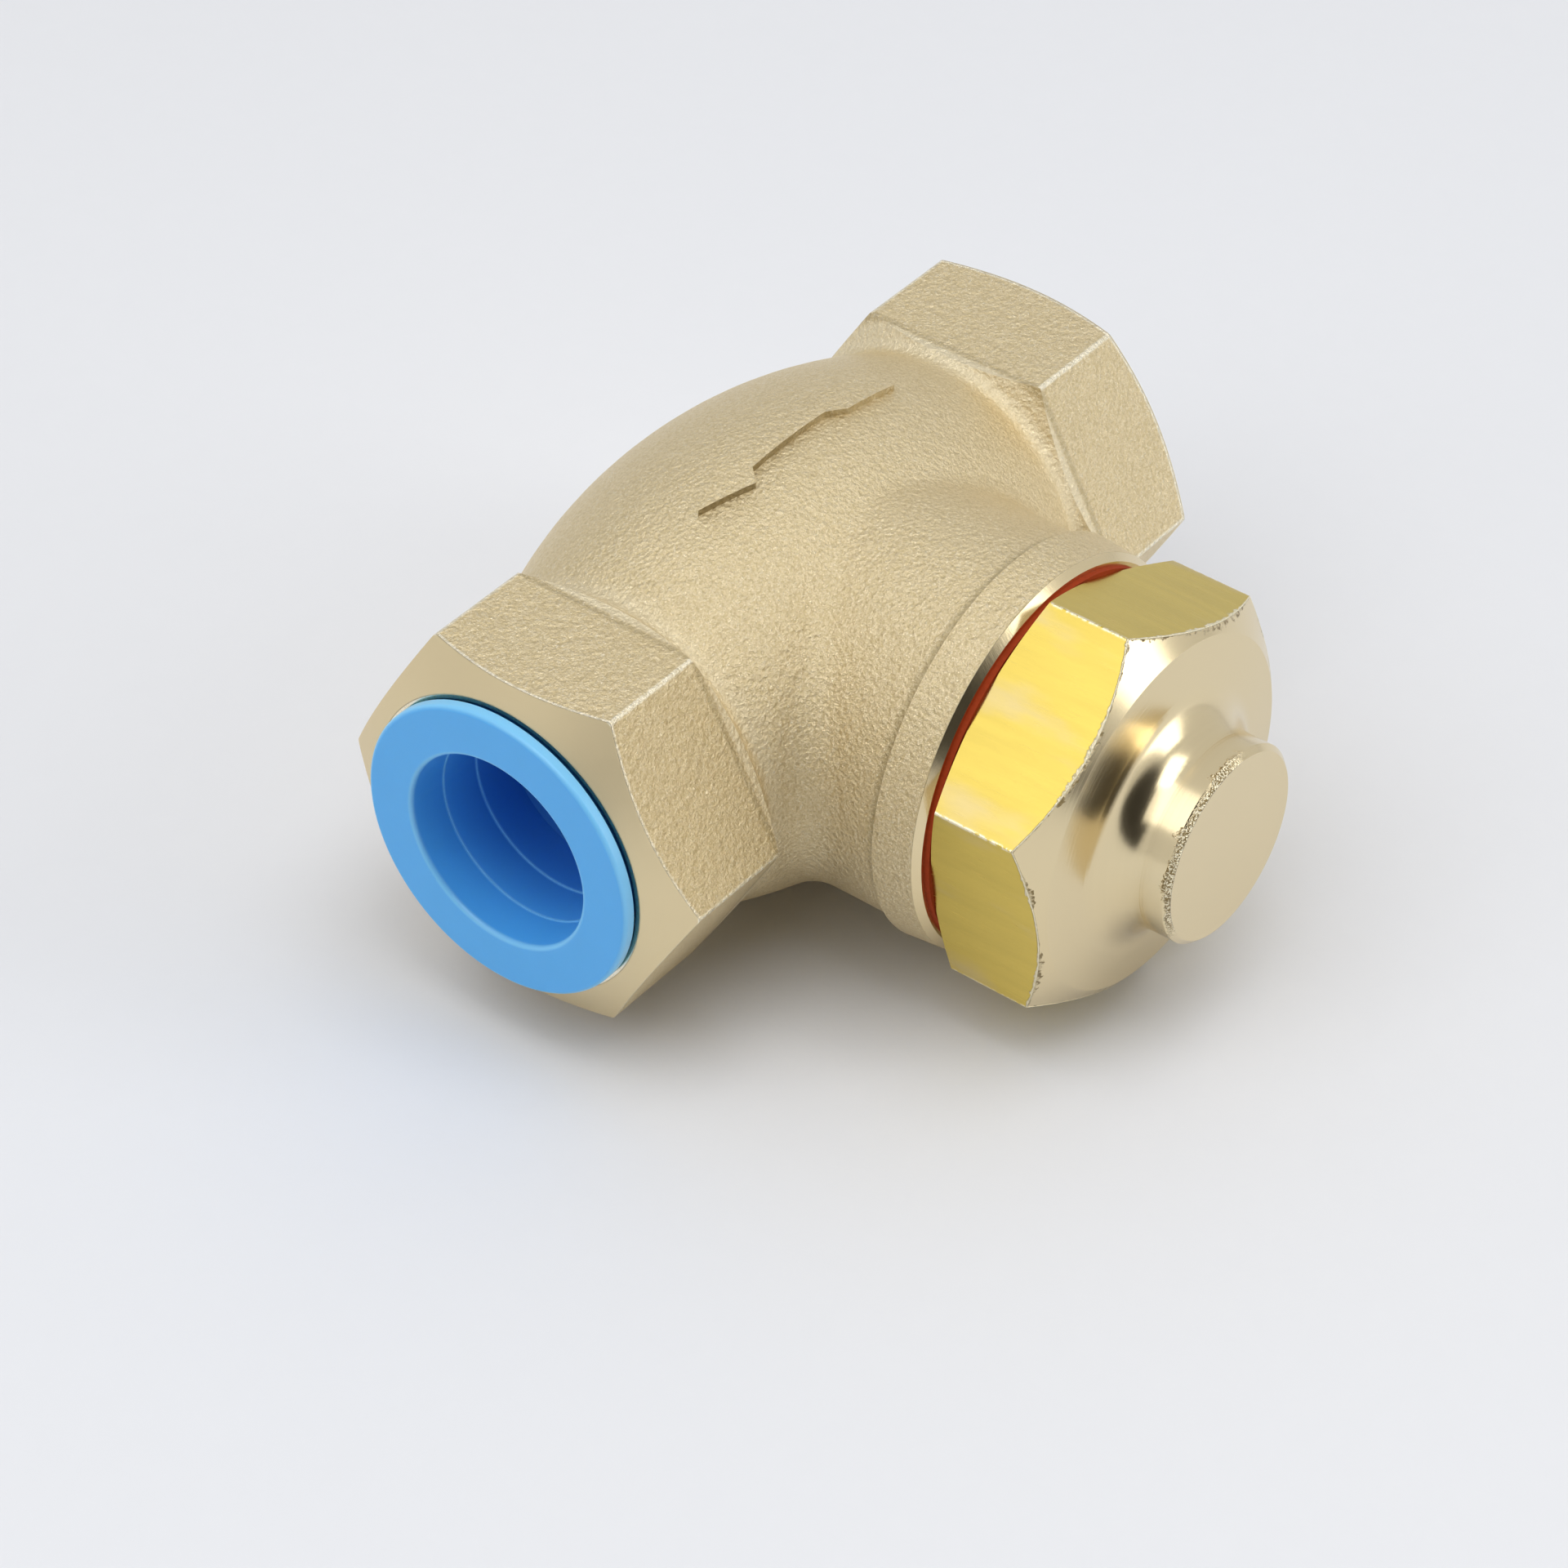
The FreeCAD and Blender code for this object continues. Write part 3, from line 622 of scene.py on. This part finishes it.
bar.set(Normal=bar.bump(bar.add(torn_relief, bar.add(flat_relief, turned_relief)), 0.20 * MM))
dress(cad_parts["bonnet"], bar)

SKIRT_MINOR = 15.08 * MM
bonnet_thread = thread_ridge(
    "bonnet_thread", "bonnet", SKIRT_MINOR - 0.03 * MM, 15.92 * MM, 0.60 * MM, 0.08 * MM,
    NECK_THREAD_START, BONNET_PITCH, 5.6, True)
dress(bonnet_thread, cut_brass)

# The gasket: a flat ring punched from orange-red fibre sheet.
# It is squeezed between the neck and the bonnet, and only its edge shows.

gasket_colour = (0.40, 0.048, 0.008)
fibre_ring = Finish("red_fibre")
strands = fibre_ring.noise(0.35 * MM, detail=4)
fibre_ring.set(
    Base_Color=fibre_ring.mix(strands, gasket_colour, [c * 0.6 for c in gasket_colour]),
    Roughness=0.7,
    Specular_IOR_Level=0.15)
fibre_ring.set(Normal=fibre_ring.bump(strands, 0.03 * MM))
dress(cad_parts["bonnet_gasket"], fibre_ring)

# The plug: a hollow cap moulded in soft sky-blue polyethylene, pushed into the outlet by hand.
# It lets a little light in; the paler rims of its flange and of its cup's steps are painted highlights, and
# its deep cup has painted shade.

FLANGE_RADIUS = 13.85 * MM
HOLE_RADIUS = 9.2 * MM
CUP_FRONT = RUN_LENGTH + 1.5 * MM
CUP_STEPS = (4.0 * MM, 8.0 * MM)
plug_colour = (0.095, 0.47, 0.96)
# Painted light: the edge colour is a highlight for the rims, the deep colour is shade inside the cup.
painted_rim_highlight_colour = (0.26, 0.66, 0.98)
painted_cup_shade_colour = (0.035, 0.20, 0.60)
poly = Finish("blue_polyethylene")
cloud = poly.noise(2.5 * MM, detail=3)
from_axis = poly.radius(poly.y, poly.z)
depth = poly.add(poly.x, CUP_FRONT)
# Painted highlights: paler rims along the flange's edge, the hole's edge and the steps inside the cup.
flange_edge = poly.rise(from_axis, FLANGE_RADIUS - 0.40 * MM, FLANGE_RADIUS - 0.05 * MM)
hole_edge = poly.times(
    poly.rise(from_axis, HOLE_RADIUS + 0.45 * MM, HOLE_RADIUS + 0.15 * MM),
    poly.rise(depth, 0.6 * MM, 0.3 * MM))
edges = poly.most(flange_edge, hole_edge)
for step in CUP_STEPS:
    from_step = poly.math("ABSOLUTE", poly.math("SUBTRACT", depth, step))
    inside = poly.rise(from_axis, HOLE_RADIUS + 0.3 * MM, HOLE_RADIUS)
    edges = poly.most(edges, poly.times(inside, poly.rise(from_step, 0.20 * MM, 0.05 * MM)))
poly_tone = poly.mix(cloud, plug_colour, [c * 0.95 for c in plug_colour])
# Painted shade: darker blue deeper in the cup.
cup_shade = poly.times(inside, poly.rise(depth, 2.0 * MM, 11.0 * MM))
poly_tone = poly.mix(poly.times(cup_shade, 0.85), poly_tone, painted_cup_shade_colour)
poly.set(
    Base_Color=poly.mix(poly.times(edges, 0.7), poly_tone, painted_rim_highlight_colour),
    Roughness=0.33,
    Subsurface_Weight=0.1,
    Subsurface_Radius=(0.3, 0.6, 1.0),
    Subsurface_Scale=0.8 * MM)
poly.set(Normal=poly.bump(poly.noise(0.25 * MM, detail=2), 0.008 * MM))
dress(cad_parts["outlet_plug"], poly)
